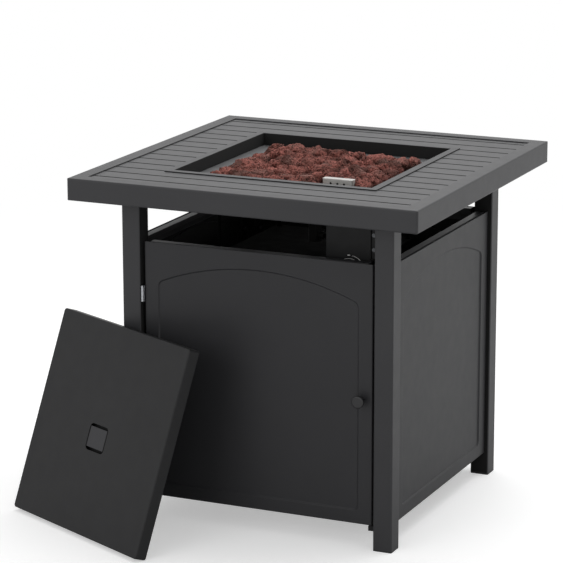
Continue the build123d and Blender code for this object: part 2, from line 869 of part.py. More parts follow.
# Grip of the lid: a shallow dish behind the window, with a strap across its mouth
grip_plane = Plane(
    origin=lid_plane.from_local_coords((0, -grip_drop, -lid_sheet)),
    x_dir=lid_across,
    z_dir=lid_normal,
)
grip_dish_width = grip_window_width + 2 * grip_dish_margin
grip_dish_height = grip_window_height + 2 * grip_dish_margin
with BuildPart() as lid_grip:
    with BuildSketch(grip_plane):
        RectangleRounded(grip_dish_width, grip_dish_height, grip_window_radius)
    extrude(amount=-grip_dish_depth)
    offset(amount=-grip_sheet, openings=[lid_grip.faces().sort_by(lid_way_out)[-1]])
    with BuildSketch(grip_plane):
        Rectangle(grip_dish_width - grip_sheet, grip_strap_height)
    extrude(amount=-grip_sheet)
write(lid_grip, "lid_grip")


# Burner pan: flat ledge that hangs in the well frame, and a sunk bowl
with BuildPart() as burner_pan:
    with BuildSketch(Plane.XY.offset(ledge_top)):
        Rectangle(2 * (well_half - pan_side_gap), 2 * (well_half - pan_side_gap))
    extrude(amount=-pan_sheet)
    with BuildSketch(Plane.XY.offset(ledge_top)):
        bowl_outer = 2 * (bowl_half_width + pan_sheet)
        RectangleRounded(bowl_outer, bowl_outer, bowl_corner_radius + pan_sheet)
    extrude(amount=-(bowl_depth + pan_sheet))
    with BuildSketch(Plane.XY.offset(ledge_top)):
        RectangleRounded(2 * bowl_half_width, 2 * bowl_half_width, bowl_corner_radius)
    extrude(amount=-bowl_depth, mode=Mode.SUBTRACT)
    with BuildSketch(Plane.XY.offset(pan_floor)):
        Circle(burner_stub_radius + stub_clearance)
        with Locations((electrode_x, pilot_y)):
            Circle(electrode_radius + pilot_hole_clearance)
        with Locations((thermocouple_x, pilot_y)):
            Circle(thermocouple_radius + pilot_hole_clearance)
    extrude(amount=-2 * pan_sheet, mode=Mode.SUBTRACT)
write(burner_pan, "burner_pan")


# Ring burner: tube ring, cross bar, hub and a threaded stub through the pan
ring_z = pan_floor + ring_rise + ring_tube_radius
ring_top = ring_z + ring_tube_radius
stub_end = pan_floor - burner_stub_length
with BuildPart() as ring_burner:
    with BuildSketch(Plane(origin=(0, 0, ring_z), x_dir=(0, 1, 0), z_dir=(1, 0, 0))):
        with Locations((ring_radius, 0)):
            Circle(ring_tube_radius)
    revolve(axis=Axis.Z)
    with BuildSketch(Plane.YZ):
        with Locations((0, ring_z)):
            Rectangle(burner_bar_size, burner_bar_size)
    extrude(amount=ring_radius, both=True)
    with BuildSketch(Plane.XY.offset(pan_floor)):
        Circle(burner_hub_radius)
    extrude(amount=ring_top - pan_floor)
    with BuildSketch(Plane.XY.offset(pan_floor)):
        Circle(burner_stub_radius)
    extrude(amount=-burner_stub_length)
    with BuildSketch(Plane.XY.offset(stub_end)):
        Circle(burner_bore_radius)
    extrude(amount=ring_z - stub_end, mode=Mode.SUBTRACT)
    with BuildSketch(Plane.XY.offset(ring_top)):
        with PolarLocations(ring_radius, port_count, start_angle=180 / port_count):
            Rectangle(port_length, port_width)
    extrude(amount=-port_depth, mode=Mode.SUBTRACT)
write(ring_burner, "ring_burner")

with BuildPart() as burner_nut:
    with BuildSketch(Plane.XY.offset(pan_under)):
        RegularPolygon(burner_nut_width / 2, 6, major_radius=False)
        Circle(burner_stub_radius + thread_fit, mode=Mode.SUBTRACT)
    extrude(amount=-burner_nut_height)
write(burner_nut, "burner_nut")


# Mixer tube with two air windows, the shutter that turns on it, and the orifice elbow below
window_middle = mixer_bottom + air_window_rise + air_window_height / 2
with BuildPart() as mixer_tube:
    with BuildSketch(Plane.XY.offset(mixer_bottom)):
        Circle(mixer_radius)
    extrude(amount=mixer_length)
    with BuildSketch(Plane.XY.offset(mixer_bottom)):
        Circle(mixer_collar_radius)
    extrude(amount=mixer_collar_height)
    with BuildSketch(Plane.XY.offset(mixer_bottom)):
        Circle(orifice_spigot_radius + thread_fit)
    extrude(amount=mixer_floor, mode=Mode.SUBTRACT)
    with BuildSketch(Plane.XY.offset(mixer_bottom + mixer_floor)):
        Circle(mixer_bore_radius)
    extrude(amount=mixer_length - mixer_floor, mode=Mode.SUBTRACT)
    with BuildSketch(Plane.XY.offset(stub_end)):
        Circle(burner_stub_radius + thread_fit)
    extrude(amount=mixer_top - stub_end, mode=Mode.SUBTRACT)
    with BuildSketch(Plane.XZ):
        with Locations((0, window_middle)):
            Rectangle(air_window_width, air_window_height)
    extrude(amount=mixer_radius + cut_overrun, both=True, mode=Mode.SUBTRACT)
write(mixer_tube, "mixer_tube")

shutter_bottom = mixer_bottom + mixer_collar_height
with BuildPart() as air_shutter:
    with BuildSketch(Plane.XY.offset(shutter_bottom)):
        Circle(shutter_radius)
    extrude(amount=shutter_height)
    with BuildSketch(Plane.XY.offset(shutter_bottom)):
        with Locations((mixer_radius, 0)):
            Rectangle(shutter_lever_length, shutter_lever_width, align=(Align.MIN, Align.CENTER))
    extrude(amount=shutter_height / 3)
    with BuildSketch(Plane.XY.offset(shutter_bottom)):
        Circle(mixer_radius + shutter_fit)
    extrude(amount=shutter_height, mode=Mode.SUBTRACT)
    with BuildSketch(Plane.XZ):
        with Locations((0, window_middle)):
            Rectangle(air_window_width, air_window_height)
    extrude(amount=shutter_radius + cut_overrun, both=True, mode=Mode.SUBTRACT)
write(air_shutter, "air_shutter")

with BuildPart() as orifice_elbow:
    with BuildSketch(Plane.XY.offset(pipe_z - orifice_below)):
        RegularPolygon(orifice_width / 2, 6, major_radius=False)
    extrude(amount=mixer_bottom - pipe_z + orifice_below)
    with BuildSketch(Plane.XY.offset(mixer_bottom)):
        Circle(orifice_spigot_radius)
    extrude(amount=orifice_spigot_length)
    with BuildSketch(Plane.YZ):
        with Locations((0, pipe_z)):
            Circle(orifice_port_radius)
    extrude(amount=orifice_port_length)
write(orifice_elbow, "orifice_elbow")


def swept_tube(radius, bend_radius, points):
    """Round tube along straight runs joined by tangent arcs."""
    with BuildPart() as tube:
        with BuildLine() as route:
            FilletPolyline(*points, radius=bend_radius)
        with BuildSketch(Plane(origin=route.line @ 0, z_dir=route.line % 0)):
            Circle(radius)
        sweep(path=route.line)
    return tube


# Feed pipe from the valve to the orifice
feed_points = (
    (orifice_port_length, 0, pipe_z),
    (valve_x, 0, pipe_z),
    (valve_x, valve_back + valve_outlet_length, pipe_z),
)
write(swept_tube(pipe_radius, pipe_bend_radius, feed_points), "feed_pipe")


# Heat shield hung under the pan on four rods
rod_pitch = 2 * (shield_half_width - rod_inset)
with BuildPart() as heat_shield:
    with BuildSketch(Plane.XY.offset(shield_top)):
        RectangleRounded(2 * shield_half_width, 2 * shield_half_width, shield_corner_radius)
        with GridLocations(rod_pitch, rod_pitch, 2, 2):
            Circle(rod_radius + rod_clearance, mode=Mode.SUBTRACT)
    extrude(amount=-shield_sheet)
write(heat_shield, "heat_shield")

with BuildPart() as shield_rods:
    with BuildSketch(Plane.XY.offset(pan_under)):
        with GridLocations(rod_pitch, rod_pitch, 2, 2):
            Circle(rod_radius)
    extrude(amount=-(shield_below_pan + shield_sheet))
    for collar_start in (shield_top, shield_top - shield_sheet - rod_collar_height):
        with BuildSketch(Plane.XY.offset(collar_start)):
            with GridLocations(rod_pitch, rod_pitch, 2, 2):
                Circle(rod_collar_radius)
        extrude(amount=rod_collar_height)
write(shield_rods, "shield_rods")


# Control panel, hung from the front cross rail and tied to the leg by a bracket
control_plane = face_plane(0, control_front)
ear_front = -control_front + control_ear_offset
ear_back = ear_front + control_sheet
ear_screw_x = control_right + control_ear_width / 2
with BuildPart() as control_panel:
    with BuildSketch(control_plane):
        with Locations((control_left, control_bottom)):
            Rectangle(control_width, support_bottom - control_bottom, align=Align.MIN)
    extrude(amount=-control_sheet)
    with BuildSketch(Plane.XY.offset(support_bottom)):
        with Locations((control_left, -control_front)):
            Rectangle(control_width, control_flange, align=(Align.MIN, Align.MAX))
        with Locations(*flange_screw_places):
            Circle(screw_radius + screw_clearance, mode=Mode.SUBTRACT)
    extrude(amount=-control_sheet)
    with BuildSketch(Plane.XY.offset(control_bottom)):
        with Locations((control_left, -control_front)):
            Rectangle(control_sheet, control_return, align=Align.MIN)
    extrude(amount=support_bottom - control_bottom)
    with BuildSketch(Plane.XY.offset(control_ear_bottom)):
        with Locations((control_right, -control_front)):
            Rectangle(control_sheet, control_ear_offset + control_sheet, align=(Align.MAX, Align.MIN))
        with Locations((control_right - control_sheet, ear_front)):
            Rectangle(control_ear_width + control_sheet, control_sheet, align=Align.MIN)
    extrude(amount=control_ear_height)
    with BuildSketch(control_plane):
        with Locations((valve_x, valve_z)):
            Circle(stem_hole_radius)
        with Locations((igniter_x, igniter_z)):
            Circle(igniter_neck_radius + screw_clearance)
        with Locations(*[(ear_screw_x, height) for height in control_screw_heights]):
            Circle(screw_radius + screw_clearance)
    extrude(amount=-(control_ear_offset + 2 * control_sheet), mode=Mode.SUBTRACT)
write(control_panel, "control_panel")

with BuildPart() as panel_bracket:
    with BuildSketch(Plane.XY.offset(control_ear_bottom)):
        with Locations((leg_inner, ear_back)):
            bracket_width = leg_inner - control_right - bracket_inset
            Rectangle(bracket_width, bracket_sheet, align=(Align.MAX, Align.MIN))
        with Locations((leg_inner, ear_back + bracket_sheet)):
            bracket_length = ear_back + bracket_sheet + leg_inner + bracket_reach
            Rectangle(bracket_sheet, bracket_length, align=Align.MAX)
    extrude(amount=control_ear_height)
    with BuildSketch(face_plane(0, -ear_back)):
        with Locations(*[(ear_screw_x, height) for height in control_screw_heights]):
            Circle(screw_radius + screw_clearance)
    extrude(amount=-2 * bracket_sheet, mode=Mode.SUBTRACT)
write(panel_bracket, "panel_bracket")

with BuildPart() as control_screws:
    with BuildSketch(face_plane(0, -ear_front)):
        with Locations(*[(ear_screw_x, height) for height in control_screw_heights]):
            Circle(screw_head_radius)
    extrude(amount=screw_head_height)
    with BuildSketch(face_plane(0, -ear_front)):
        with Locations(*[(ear_screw_x, height) for height in control_screw_heights]):
            Circle(screw_radius)
    extrude(amount=-(control_sheet + bracket_sheet + screw_reach))
    with BuildSketch(Plane.XY.offset(support_bottom - control_sheet)):
        with Locations(*flange_screw_places):
            Circle(screw_head_radius)
    extrude(amount=-screw_head_height)
    with BuildSketch(Plane.XY.offset(support_bottom - control_sheet)):
        with Locations(*flange_screw_places):
            Circle(screw_radius)
    extrude(amount=control_sheet + rail_wall + screw_reach)
write(control_screws, "control_screws")


# Gas valve, its stem and knob, and the hose inlet under it
valve_plane = face_plane(0, -control_back)
with BuildPart() as valve_body:
    with BuildSketch(valve_plane):
        with Locations((valve_x, valve_z)):
            RectangleRounded(2 * valve_half_width, 2 * valve_half_height, valve_edge_radius)
    extrude(amount=-valve_depth)
    with BuildSketch(valve_plane.offset(-valve_depth)):
        with Locations((valve_x, pipe_z)):
            Circle(valve_outlet_radius)
    extrude(amount=-valve_outlet_length)
    with BuildSketch(valve_plane):
        with Locations((valve_x, valve_z)):
            Circle(stem_radius + stem_fit)
    extrude(amount=-stem_bore_depth, mode=Mode.SUBTRACT)
write(valve_body, "valve_body")

stem_tip_plane = face_plane(0, control_front + stem_out)
with BuildPart() as valve_stem:
    with BuildSketch(stem_tip_plane):
        with Locations((valve_x, valve_z)):
            Circle(stem_radius)
    extrude(amount=-(stem_out + control_sheet + stem_bore_depth))
    with BuildSketch(stem_tip_plane):
        with Locations((valve_x, valve_z + stem_radius)):
            Rectangle(2 * stem_radius, 2 * stem_flat)
    extrude(amount=-stem_out, mode=Mode.SUBTRACT)
write(valve_stem, "valve_stem")

knob_plane = face_plane(0, control_front + control_knob_gap)
knob_bar_length = 2 * (control_knob_radius - knob_bar_end_inset)
with BuildPart() as control_knob:
    with BuildSketch(knob_plane):
        with Locations((valve_x, valve_z)):
            Circle(control_knob_radius)
    extrude(amount=control_knob_depth)
    fillet(control_knob.faces().sort_by(Axis.Y)[0].edges(), control_knob_edge_radius)
    with BuildSketch(knob_plane.offset(control_knob_depth)):
        with Locations((valve_x, valve_z)):
            RectangleRounded(knob_bar_width, knob_bar_length, control_knob_edge_radius)
    extrude(amount=knob_bar_height)
    with BuildSketch(knob_plane):
        with Locations((valve_x, valve_z)):
            Circle(stem_radius + stem_fit)
        with Locations((valve_x, valve_z + stem_radius + stem_fit)):
            Rectangle(4 * stem_radius, 2 * stem_flat, mode=Mode.SUBTRACT)
    extrude(amount=control_knob_socket_depth, mode=Mode.SUBTRACT)
write(control_knob, "control_knob")

inlet_top = valve_z - valve_half_height
inlet_y = control_back + valve_depth / 2
with BuildPart() as hose_inlet:
    with BuildSketch(Plane(origin=(valve_x, inlet_y, inlet_top))):
        RegularPolygon(inlet_hex_width / 2, 6, major_radius=False)
    extrude(amount=-inlet_hex_height)
    with BuildSketch(Plane(origin=(valve_x, inlet_y, inlet_top - inlet_hex_height))):
        Circle(inlet_radius)
    extrude(amount=-inlet_length)
    with BuildSketch(Plane(origin=(valve_x, inlet_y, inlet_top))):
        Circle(inlet_bore_radius)
    extrude(amount=-(inlet_hex_height + inlet_length), mode=Mode.SUBTRACT)
write(hose_inlet, "hose_inlet")


# Push-button igniter: housing behind the panel, nut in front of it, sliding button
igniter_mouth = face_plane(0, control_front + igniter_neck_out)
button_face = face_plane(0, control_front + igniter_neck_out + button_out)
with BuildPart() as igniter_housing:
    with BuildSketch(valve_plane):
        with Locations((igniter_x, igniter_z)):
            Circle(igniter_radius)
    extrude(amount=-igniter_length)
    with BuildSketch(valve_plane):
        with Locations((igniter_x, igniter_z)):
            Circle(igniter_neck_radius)
    extrude(amount=control_sheet + igniter_neck_out)
    with BuildSketch(igniter_mouth):
        with Locations((igniter_x, igniter_z)):
            Circle(igniter_bore_radius)
    extrude(amount=-(button_in + button_bore_spare), mode=Mode.SUBTRACT)
write(igniter_housing, "igniter_housing")

with BuildPart() as igniter_nut:
    with BuildSketch(control_plane):
        with Locations((igniter_x, igniter_z)):
            Circle(igniter_nut_radius)
            Circle(igniter_neck_radius + thread_fit, mode=Mode.SUBTRACT)
    extrude(amount=igniter_nut_height)
write(igniter_nut, "igniter_nut")

with BuildPart() as igniter_button:
    with BuildSketch(button_face):
        with Locations((igniter_x, igniter_z)):
            Circle(igniter_bore_radius - button_fit)
    extrude(amount=-(button_out + button_in))
    with BuildSketch(button_face):
        with Locations((igniter_x, igniter_z)):
            Circle(button_cap_radius)
    extrude(amount=-button_cap_height)
write(igniter_button, "igniter_button")


# Electrode and thermocouple in the pan, each with a collar on the floor, and their leads
lead_end = pan_floor - electrode_below
with BuildPart() as electrode:
    with BuildSketch(Plane(origin=(electrode_x, pilot_y, lead_end))):
        Circle(electrode_radius)
    extrude(amount=electrode_below + electrode_height)
    with BuildSketch(Plane(origin=(electrode_x, pilot_y, pan_floor))):
        Circle(electrode_radius + pilot_collar)
    extrude(amount=pilot_collar)
    with BuildSketch(Plane(origin=(electrode_x, pilot_y, pan_floor + electrode_height))):
        Circle(electrode_rod_radius)
    extrude(amount=electrode_rod_height)
write(electrode, "electrode")

with BuildPart() as thermocouple:
    with BuildSketch(Plane(origin=(thermocouple_x, pilot_y, lead_end))):
        Circle(thermocouple_radius)
    extrude(amount=electrode_below + thermocouple_height)
    with BuildSketch(Plane(origin=(thermocouple_x, pilot_y, pan_floor))):
        Circle(thermocouple_radius + pilot_collar)
    extrude(amount=pilot_collar)
write(thermocouple, "thermocouple")

igniter_tail = control_back + igniter_length
igniter_level = lead_end - igniter_lead_level
igniter_points = (
    (igniter_x, igniter_tail, igniter_z),
    (igniter_x, igniter_tail + lead_start_run, igniter_z),
    (igniter_x, igniter_tail + lead_start_run, igniter_level),
    (electrode_x, pilot_y, igniter_level),
    (electrode_x, pilot_y, lead_end),
)
write(swept_tube(lead_radius, lead_bend_radius, igniter_points), "igniter_lead")

sensor_x = valve_x + thermocouple_port_x
sensor_z = valve_z + thermocouple_port_z
sensor_level = lead_end - thermocouple_lead_level
sensor_points = (
    (sensor_x, valve_back, sensor_z),
    (sensor_x, valve_back + lead_start_run, sensor_z),
    (sensor_x, valve_back + lead_start_run, sensor_level),
    (thermocouple_x, pilot_y, sensor_level),
    (thermocouple_x, pilot_y, lead_end),
)
write(swept_tube(lead_radius, lead_bend_radius, sensor_points), "thermocouple_lead")

cover_x = (electrode_x + thermocouple_x) / 2
with BuildPart() as igniter_cover:
    with BuildSketch(Plane(origin=(cover_x, pilot_y, pan_floor))):
        Rectangle(cover_width, cover_depth)
    extrude(amount=cover_height)
    fillet(igniter_cover.edges().filter_by(Axis.Z), cover_hole_radius)
    offset(amount=-cover_sheet, openings=[igniter_cover.faces().sort_by(Axis.Z)[0]])
    with BuildSketch(face_plane(0, -pilot_y)):
        with Locations((cover_x, pan_floor + cover_height - cover_hole_row)):
            with GridLocations(cover_hole_pitch, cover_hole_row, cover_hole_columns, cover_hole_rows):
                Circle(cover_hole_radius)
    extrude(amount=cover_depth, both=True, mode=Mode.SUBTRACT)
write(igniter_cover, "igniter_cover")


# Lava rocks: lumps with a flat foot, on the floor of the bowl or on the burner
rock_cell = 2 * bowl_half_width / rock_rows
rock_spread = rock_cell * rock_spread_share


def room_beside_cover(x, y):
    """Clear distance between this place and the igniter cover."""
    beside_x = max(abs(x - cover_x) - cover_width / 2, 0)
    beside_y = max(abs(y - pilot_y) - cover_depth / 2, 0)
    return (beside_x * beside_x + beside_y * beside_y) ** 0.5 - rock_gap


def rock_seat(x, y):
    """Foot, usual height and half-width of a rock at this place: on the burner or on the floor."""
    distance = (x * x + y * y) ** 0.5
    from_ring = abs(distance - ring_radius)
    if from_ring < rock_spread * rock_widths_share[0] or distance < burner_hub_radius + rock_spread:
        return ring_top, rock_high_height, rock_spread
    if abs(y) < burner_bar_size / 2 + rock_spread and abs(x) < ring_radius:
        return ring_z + burner_bar_size / 2, rock_high_height, rock_spread
    room_beside_ring = from_ring - ring_tube_radius - rock_gap
    return pan_floor, rock_low_height, min(rock_spread, room_beside_ring, room_beside_cover(x, y))


rock_middle = (rock_rows - 1) / 2
rock_places = [
    ((column - rock_middle) * rock_cell, (row - rock_middle) * rock_cell)
    for row in range(rock_rows)
    for column in range(rock_rows)
]
rock_places = [place for place in rock_places if room_beside_cover(*place) > rock_least_room]


def rock(number, x, y):
    """One lump: four many-sided rings, each dented its own way, joined by flat facets."""
    foot, height, spread = rock_seat(x, y)
    height += rock_height_swing * sin(rock_phase * number)
    with BuildPart() as lump:
        for level, width in zip(rock_levels_share, rock_widths_share):
            corners = []
            for side in range(rock_sides):
                angle = 2 * pi * side / rock_sides + number
                dent = rock_dent_share * (1 + sin(rock_phase * (side + number) + width)) / 2
                reach = spread * width * (1 - dent)
                corners.append((reach * cos(angle), reach * sin(angle)))
            with BuildSketch(Plane(origin=(x, y, foot + level * height))):
                with BuildLine():
                    Polyline(*corners, close=True)
                make_face()
        loft(ruled=True)
    return lump.part


with BuildPart() as lava_rocks:
    add([rock(number, x, y) for number, (x, y) in enumerate(rock_places)])
write(lava_rocks, "lava_rocks")
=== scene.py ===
"""Studio scene of a square gas fire pit table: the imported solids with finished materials,
a heap of lava rock in the well and printed dial marks."""

import json
import math
import random

import bmesh
import bpy
from mathutils import Euler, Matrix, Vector, noise


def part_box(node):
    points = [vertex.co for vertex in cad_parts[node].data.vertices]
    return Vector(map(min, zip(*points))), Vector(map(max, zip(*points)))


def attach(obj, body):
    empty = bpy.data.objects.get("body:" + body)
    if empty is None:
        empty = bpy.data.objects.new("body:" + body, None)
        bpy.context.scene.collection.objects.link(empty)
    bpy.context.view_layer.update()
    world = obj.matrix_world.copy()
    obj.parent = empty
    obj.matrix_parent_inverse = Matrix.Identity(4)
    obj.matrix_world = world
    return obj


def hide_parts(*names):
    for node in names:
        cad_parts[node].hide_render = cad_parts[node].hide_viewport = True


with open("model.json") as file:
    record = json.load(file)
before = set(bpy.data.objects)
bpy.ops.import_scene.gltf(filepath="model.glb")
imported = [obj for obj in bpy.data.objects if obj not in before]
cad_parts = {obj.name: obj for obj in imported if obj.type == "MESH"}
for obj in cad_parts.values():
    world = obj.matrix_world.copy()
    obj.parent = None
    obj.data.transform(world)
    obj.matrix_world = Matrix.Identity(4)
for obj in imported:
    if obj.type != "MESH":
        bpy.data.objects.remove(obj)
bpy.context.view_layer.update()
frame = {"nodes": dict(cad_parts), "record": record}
nodes = frame["nodes"]
scene = bpy.context.scene
mm = 0.001


def linear(*srgb):
    """Linear colour of an 8-bit screen colour."""
    steps = []
    for value in srgb:
        part = value / 255
        steps.append(part / 12.92 if part <= 0.04045 else ((part + 0.055) / 1.055) ** 2.4)
    return (*steps, 1.0)


class Shader:
    """A material being made: its node tree, its shader and short ways to add and join nodes."""

    def __init__(self, name):
        self.material = bpy.data.materials.new(name)
        self.material.use_nodes = True
        self.tree = self.material.node_tree
        self.surface = self.tree.nodes["Principled BSDF"]
        coordinates = self.add("ShaderNodeTexCoord")
        self.place = coordinates.outputs["Object"]
        self.facing = coordinates.outputs["Normal"]

    def add(self, kind, **values):
        node = self.tree.nodes.new(kind)
        for key, value in values.items():
            setattr(node, key, value)
        return node

    def join(self, out, into):
        self.tree.links.new(out, into)

    def set(self, **values):
        for key, value in values.items():
            self.surface.inputs[key.replace("_", " ")].default_value = value

    def stretched(self, scale):
        mapping = self.add("ShaderNodeMapping")
        mapping.inputs["Scale"].default_value = scale
        self.join(self.place, mapping.inputs["Vector"])
        return mapping.outputs["Vector"]

    def noise(self, scale, detail=3.0, rough=0.55, place=None):
        node = self.add("ShaderNodeTexNoise")
        node.inputs["Scale"].default_value = scale
        node.inputs["Detail"].default_value = detail
        node.inputs["Roughness"].default_value = rough
        self.join(place or self.place, node.inputs["Vector"])
        return node.outputs["Fac"]

    def cells(self, scale):
        node = self.add("ShaderNodeTexVoronoi")
        node.inputs["Scale"].default_value = scale
        self.join(self.place, node.inputs["Vector"])
        return node.outputs["Distance"]

    def ranged(self, out, low, high, to_low, to_high):
        node = self.add("ShaderNodeMapRange")
        node.inputs["From Min"].default_value = low
        node.inputs["From Max"].default_value = high
        node.inputs["To Min"].default_value = to_low
        node.inputs["To Max"].default_value = to_high
        self.join(out, node.inputs["Value"])
        return node.outputs["Result"]

    def spread(self, texture, to_low=0.0, to_high=1.0):
        """A noise's usual range of values, drawn out to another range."""
        return self.ranged(texture, 0.3, 0.7, to_low, to_high)

    def math(self, operation, first, second=0.0):
        node = self.add("ShaderNodeMath", operation=operation)
        for place, value in enumerate((first, second)):
            if isinstance(value, (int, float)):
                node.inputs[place].default_value = value
            else:
                self.join(value, node.inputs[place])
        return node.outputs["Value"]

    def weighed(self, first, first_share, second, second_share):
        """The sum of two values, each times its share."""
        return self.math(
            "ADD", self.math("MULTIPLY", first, first_share), self.math("MULTIPLY", second, second_share)
        )

    def distance(self, out, middle):
        """How far a value is from a middle, either way."""
        return self.math("ABSOLUTE", self.math("SUBTRACT", out, middle))

    def mix(self, factor, first, second):
        node = self.add("ShaderNodeMix", data_type="RGBA")
        self.join(factor, node.inputs["Factor"])
        for socket, value in (("A", first), ("B", second)):
            target = [s for s in node.inputs if s.name == socket and s.type == "RGBA"][0]
            if isinstance(value, tuple):
                target.default_value = value
            else:
                self.join(value, target)
        return [s for s in node.outputs if s.type == "RGBA"][0]

    def part(self, vector, axis):
        node = self.add("ShaderNodeSeparateXYZ")
        self.join(vector, node.inputs["Vector"])
        return node.outputs[axis]

    def dot(self, first, second):
        node = self.add("ShaderNodeVectorMath", operation="DOT_PRODUCT")
        for place, value in enumerate((first, second)):
            if isinstance(value, Vector):
                node.inputs[place].default_value = value
            else:
                self.join(value, node.inputs[place])
        return node.outputs["Value"]

    def soft_edge(self, radius):
        node = self.add("ShaderNodeBevel", samples=6)
        node.inputs["Radius"].default_value = radius
        return node.outputs["Normal"]

    def bump(self, height, strength, distance, normal=None):
        node = self.add("ShaderNodeBump")
        node.inputs["Strength"].default_value = strength
        node.inputs["Distance"].default_value = distance
        self.join(height, node.inputs["Height"])
        if normal is not None:
            self.join(normal, node.inputs["Normal"])
        return node.outputs["Normal"]

    def edge_mask(self, rounded, low, high):
        """Near 1 on outer and inner edges, where the rounded normal leaves the flat one."""
        flat = self.add("ShaderNodeNewGeometry").outputs["True Normal"]
        return self.ranged(self.dot(rounded, flat), high, low, 0.0, 1.0)

    def colour(self, out):
        self.join(out, self.surface.inputs["Base Color"])

    def roughness(self, out):
        self.join(out, self.surface.inputs["Roughness"])

    def normal(self, out):
        self.join(out, self.surface.inputs["Normal"])


def inside_mask(shader):
    """1 on the faces that look into the cabinet, 0 on its outside: where the cabinet's coat gets painted
    shade.
    """
    flat_place = shader.stretched((1.0, 1.0, 0.0))
    return shader.ranged(shader.dot(flat_place, shader.facing), -0.05, -0.12, 0.0, 1.0)


def wall_mask(shader):
    """1 on upright faces, 0 on faces that look up: where the well's walls get painted shade."""
    return shader.ranged(shader.part(shader.facing, "Z"), 0.7, 0.3, 0.0, 1.0)


def groove_mask(shader):
    """1 along the grooves between the slats, where the slats' edges get painted shade."""
    from_first = shader.math("ADD", shader.part(shader.place, "Y"), groove_half)
    turns = shader.math("DIVIDE", from_first, slat_pitch)
    offset = shader.distance(turns, shader.math("ROUND", turns))
    return shader.ranged(shader.math("MULTIPLY", offset, slat_pitch), *groove_shade, 1.0, 0.0)


def powder_coat(name, dark, light, edge_highlight, low_rough, high_rough, gloss, edge=1.1 * mm, shaded=None, shade_grey=9):
    """Satin powder coat: a fine even grain, faint cloudiness, a painted highlight on the edges and painted
    shade where a mask marks it.
    """
    shader = Shader(name)
    shader.set(Specular_IOR_Level=gloss)
    rounded = shader.soft_edge(edge)
    cloud = shader.noise(5.0, detail=4.0)
    speck = shader.noise(2400.0, detail=2.0)
    coat = shader.mix(shader.spread(shader.weighed(cloud, 0.7, speck, 0.3)), dark, light)
    # Painted highlight: a paler colour along the edges, broken up by noise
    edge_highlight_mask = shader.math("MULTIPLY", shader.edge_mask(rounded, 0.8, 0.995), shader.noise(60.0, detail=4.0))
    coat = shader.mix(shader.ranged(edge_highlight_mask, 0.15, 0.75, 0.0, 0.55), coat, edge_highlight)
    rough = shader.spread(shader.noise(38.0, detail=5.0), low_rough, high_rough)
    # Painted shade: where the mask is 1, the coat turns near-black and duller
    if shaded is not None:
        mask = shaded(shader)
        coat = shader.mix(mask, coat, linear(shade_grey, shade_grey, shade_grey))
        rough = shader.math("MAXIMUM", rough, shader.math("MULTIPLY", mask, shade_rough))
    shader.colour(coat)
    shader.roughness(rough)
    peel = shader.noise(420.0, detail=2.0)
    grain = shader.weighed(peel, 0.7, speck, 0.3)
    shader.normal(shader.bump(grain, 0.22, 0.12 * mm, rounded))
    return shader.material


def sunk_coat(name, face, hollow_shade):
    """Coat of the lid's grip: the strap near the lid's face in a paler colour as painted sheen, and black as
    painted shade down in the dish and at the strap's ends.
    """
    shader = Shader(name)
    rounded = shader.soft_edge(0.8 * mm)
    level = lid_normal.dot(lid_face)
    height = shader.dot(shader.place, lid_normal)
    shown = shader.ranged(height, level - dish_depth, level - strap_depth, 0.0, 1.0)
    grip_middle = sum((Vector(corner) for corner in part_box("lid_grip")), Vector()) / 2
    along = shader.distance(shader.dot(shader.place, lid_across), lid_across.dot(grip_middle) - strap_shift)
    strap_end = shader.ranged(along, *strap_ends, 1.0, 0.0)
    speck = shader.noise(2400.0, detail=2.0)
    coat = shader.mix(shader.spread(speck, 0.0, 0.18), face, linear(78, 78, 80))
    shader.colour(shader.mix(shader.math("MULTIPLY", shown, strap_end), hollow_shade, coat))
    shader.roughness(shader.spread(shader.noise(38.0, detail=5.0), 0.5, 0.6))
    shader.set(Specular_IOR_Level=0.1)
    shader.normal(shader.bump(speck, 0.22, 0.1 * mm, rounded))
    return shader.material


def shell_mask(shader, low, high):
    """1 on the inner faces of a hollow sheet piece with these box corners, 0 on its outside."""
    inside = 1.0
    for axis, bottom, top in zip("XYZ", low, high):
        offset = shader.distance(shader.part(shader.place, axis), (bottom + top) / 2)
        reach = (top - bottom) / 2
        deep = shader.ranged(offset, reach - 0.5 * mm, reach - 0.3 * mm, 1.0, 0.0)
        inside = shader.math("MULTIPLY", deep, inside)
    return inside


def brushed_metal(name, dark, light, rough, along=(1.0, 1.0, 1.0), stain=None, metallic=1.0, shell=None):
    """Bright metal with fine brush lines and a slight tarnish in patches, with painted shade inside a
    shell's box.
    """
    shader = Shader(name)
    shader.set(Metallic=metallic)
    lines = shader.noise(900.0, detail=3.0, place=shader.stretched(along))
    patch = shader.noise(26.0, detail=5.0)
    steel = shader.mix(shader.spread(lines), dark, light)
    if stain is not None:
        steel = shader.mix(shader.ranged(patch, 0.48, 0.72, 0.0, 0.6), steel, stain)
    # Painted shade on the inner faces of the shell
    if shell is not None:
        steel = shader.mix(shell_mask(shader, *shell), steel, linear(7, 7, 7))
    shader.colour(steel)
    shader.roughness(shader.spread(patch, rough - 0.08, rough + 0.1))
    shader.normal(shader.bump(lines, 0.16, 0.05 * mm, shader.soft_edge(0.35 * mm)))
    return shader.material


def moulded_plastic(name, dark, light, rough, grain=1500.0):
    """Moulded plastic or rubber with a fine spark-eroded grain."""
    shader = Shader(name)
    pits = shader.cells(grain)
    cloud = shader.noise(60.0, detail=3.0)
    shader.colour(shader.mix(shader.spread(cloud), dark, light))
    shader.roughness(shader.spread(cloud, rough - 0.06, rough + 0.06))
    shader.normal(shader.bump(pits, 0.25, 0.08 * mm, shader.soft_edge(0.5 * mm)))
    return shader.material


